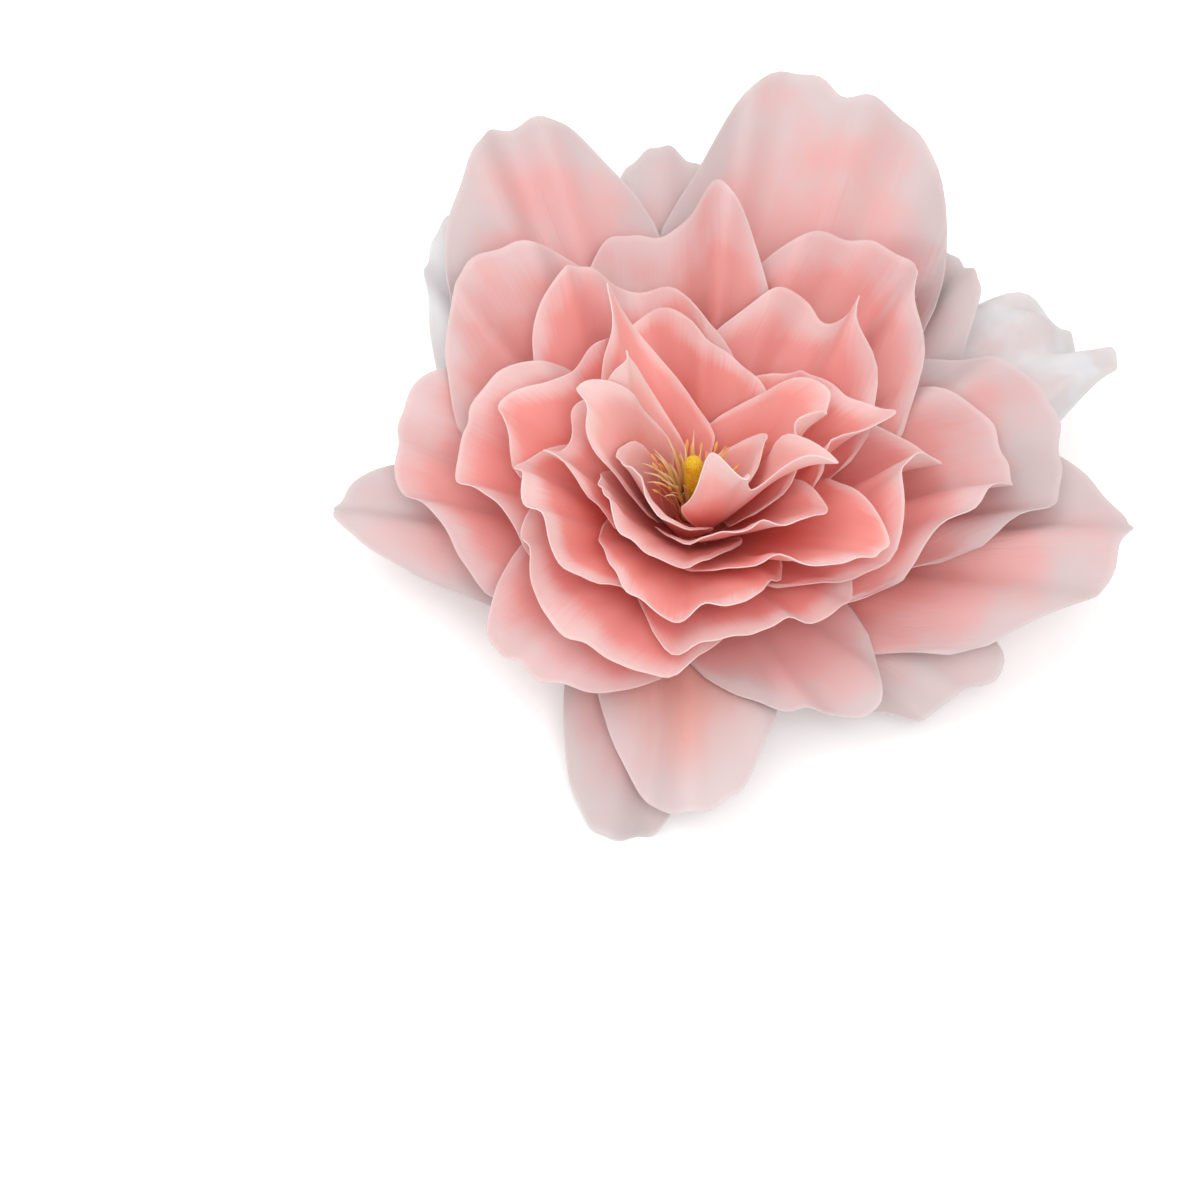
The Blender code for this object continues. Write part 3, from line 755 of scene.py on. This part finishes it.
def add_stamen_threads():
    """Fine twisted threads with thicker peach tips, standing round the strips."""
    inner = POLLEN_RADIUS + 2 * GLUE_GAP + FRINGE_THICKNESS
    threads = []
    for k in range(THREAD_COUNT):
        turn = 2 * (k + 0.3 * sin(2.3 * k)) / THREAD_COUNT - 1
        azimuth = STAMEN_SIDE + pi + pi * turn * (0.6 + 0.4 * abs(turn))
        lean = radians(THREAD_LEAN + THREAD_LEAN_SWING * sin(1.7 * k + 0.4))
        length = THREAD_LENGTH * (0.86 + 0.16 * sin(2.9 * k))

        def thread(u, v, azimuth=azimuth, lean=lean, length=length, k=k):
            tip = smooth((v - 0.84) / 0.06) * smooth((1.0 - v) / 0.04)
            thick = THREAD_RADIUS + THREAD_TIP_SWELLS * tip
            turn = pi * (u + 1)
            angle = lean * (0.55 + 0.45 * v)
            out = inner + length * v * np.sin(angle) + thick * np.cos(turn)
            side = azimuth + 0.10 * np.sin(3 * v + k) * v
            x = out * np.cos(side) - thick * np.sin(turn) * np.sin(side)
            y = out * np.sin(side) + thick * np.sin(turn) * np.cos(side)
            height = STAMEN_FOOT + THREAD_START + length * v * np.cos(angle)
            return np.stack([x, y, height], axis=-1)

        made = add_strip("thread", THREAD_SIDES, THREAD_STEPS, thread)
        bpy.ops.object.mode_set(mode="EDIT")
        bpy.ops.mesh.select_all(action="SELECT")
        bpy.ops.mesh.remove_doubles(threshold=0.00002)
        bpy.ops.mesh.select_all(action="DESELECT")
        bpy.ops.mesh.select_non_manifold()
        bpy.ops.mesh.fill_holes(sides=0)
        bpy.ops.mesh.select_all(action="SELECT")
        bpy.ops.mesh.normals_make_consistent(inside=False)
        bpy.ops.object.mode_set(mode="OBJECT")
        threads.append(made)
    piece = join(threads, "paper_stamen_threads")
    start_clean()
    piece.select_set(True)
    bpy.ops.object.shade_smooth_by_angle(angle=THREAD_SMOOTH_BELOW)
    finish_piece(piece, PEACH, "stamen_threads")


def add_pollen():
    """The pollen centre: a stalk with a grainy dome."""
    start_clean()
    height = POLLEN_TOP - STAMEN_FOOT
    bpy.ops.mesh.primitive_uv_sphere_add(segments=48, ring_count=32, radius=1)
    dome = bpy.context.active_object
    dome.name = "paper_pollen_centre"
    for vert in dome.data.vertices:
        spot = Vector(vert.co)
        if spot.z > 0:
            grain = 0.97 + 0.05 * noise.noise(spot * 9) + 0.03 * noise.noise(spot * 23)
            vert.co = (spot.x * POLLEN_RADIUS * grain, spot.y * POLLEN_RADIUS * grain,
                       POLLEN_TOP - POLLEN_RADIUS * (1 - spot.z))
        else:
            narrow = POLLEN_RADIUS * (0.97 + 0.25 * spot.z)
            vert.co = (spot.x * narrow, spot.y * narrow,
                       POLLEN_TOP - POLLEN_RADIUS + spot.z * (height - POLLEN_RADIUS))
    start_clean()
    dome.select_set(True)
    bpy.ops.object.shade_smooth()
    finish_piece(dome, POLLEN, "pollen_centre")


# Stage
TABLE_SIZE = 6
TABLE_SHADE = (0.75, 0.75, 0.75)
TABLE_LIFT = 0.20
WHITE = (1.0, 1.0, 1.0)
DAYLIGHT = (1.0, 0.99, 0.98)
DAYLIGHT_STRENGTH = 0.85

# Each lamp's name, place, size in metres and power in watts
LAMPS = (("key", (-0.45, -0.05, 1.10), 0.8, 2.4),
         ("fill", (0.10, -0.62, 0.82), 0.5, 2.8))
LAMPS_AIM = Vector((0, 0, 0.06))


def add_stage():
    """A white table that keeps the flower's shadow, and even daylight round it."""
    start_clean()
    bpy.ops.mesh.primitive_plane_add(size=TABLE_SIZE, location=(0, 0, 0))
    floor = bpy.context.active_object
    floor.name = "table"
    material, tree, shader = new_material("table_white")
    shader.inputs["Roughness"].default_value = 0.9
    shader.inputs["Specular IOR Level"].default_value = 0.1
    seen = add_node(tree, "ShaderNodeLightPath").outputs["Is Camera Ray"]
    tree.links.new(blend(tree, seen, TABLE_SHADE, WHITE), shader.inputs["Base Color"])
    shader.inputs["Emission Color"].default_value = (*WHITE, 1)
    tree.links.new(math(tree, "MULTIPLY", seen, TABLE_LIFT), shader.inputs["Emission Strength"])
    floor.data.materials.append(material)
    world = bpy.data.worlds.new("studio")
    bpy.context.scene.world = world
    world.use_nodes = True
    tree = world.node_tree
    soft = tree.nodes["Background"]
    soft.inputs["Color"].default_value = (*DAYLIGHT, 1)
    soft.inputs["Strength"].default_value = DAYLIGHT_STRENGTH
    white = add_node(tree, "ShaderNodeBackground")
    white.inputs["Color"].default_value = (*WHITE, 1)
    white.inputs["Strength"].default_value = 1.0
    rays = add_node(tree, "ShaderNodeLightPath")
    seen = math(tree, "MAXIMUM", rays.outputs["Is Camera Ray"],
                math(tree, "MAXIMUM", rays.outputs["Is Glossy Ray"],
                     rays.outputs["Is Transmission Ray"]))
    mix = add_node(tree, "ShaderNodeMixShader")
    tree.links.new(seen, mix.inputs[0])
    tree.links.new(soft.outputs[0], mix.inputs[1])
    tree.links.new(white.outputs[0], mix.inputs[2])
    tree.links.new(mix.outputs[0], tree.nodes["World Output"].inputs["Surface"])


def add_lamp(name, place, size, power):
    """A soft square lamp, aimed at the flower."""
    lamp = bpy.data.lights.new(name, "AREA")
    lamp.size = size
    lamp.energy = power
    holder = bpy.data.objects.new(name, lamp)
    bpy.context.scene.collection.objects.link(holder)
    holder.location = place
    aim = LAMPS_AIM - Vector(place)
    holder.rotation_euler = aim.to_track_quat("-Z", "Y").to_euler()


# Camera: the photograph's view, with the flower's heart at its own place in the picture
CAMERA_RISE = radians(52)
CAMERA_DISTANCE = 0.85
METRES_PER_PIXEL = 0.0005
PICTURE = 1200
SENSOR = 36
HEART = Vector((0, 0, 0.053))
HEART_PIXEL = (690, 518)


def add_camera():
    """The camera, shifted aside so that the heart falls on its own pixel."""
    back = Vector((0, -cos(CAMERA_RISE), sin(CAMERA_RISE)))
    up = Vector((0, sin(CAMERA_RISE), cos(CAMERA_RISE)))
    right = Vector((1, 0, 0))
    camera = bpy.data.cameras.new("camera")
    camera.sensor_width = SENSOR
    camera.lens = SENSOR * CAMERA_DISTANCE / (PICTURE * METRES_PER_PIXEL)
    across = (HEART_PIXEL[0] - PICTURE / 2) * METRES_PER_PIXEL
    rise = (PICTURE / 2 - HEART_PIXEL[1]) * METRES_PER_PIXEL
    holder = bpy.data.objects.new("camera", camera)
    bpy.context.scene.collection.objects.link(holder)
    holder.location = HEART + back * CAMERA_DISTANCE - right * across - up * rise
    holder.rotation_euler = (-back).to_track_quat("-Z", "Y").to_euler()
    bpy.context.scene.camera = holder


dress_cad_nodes()
add_petals()
add_stamen_strips()
add_stamen_threads()
add_pollen()
add_stage()
for lamp in LAMPS:
    add_lamp(*lamp)
add_camera()
bpy.context.scene.view_settings.view_transform = "Standard"
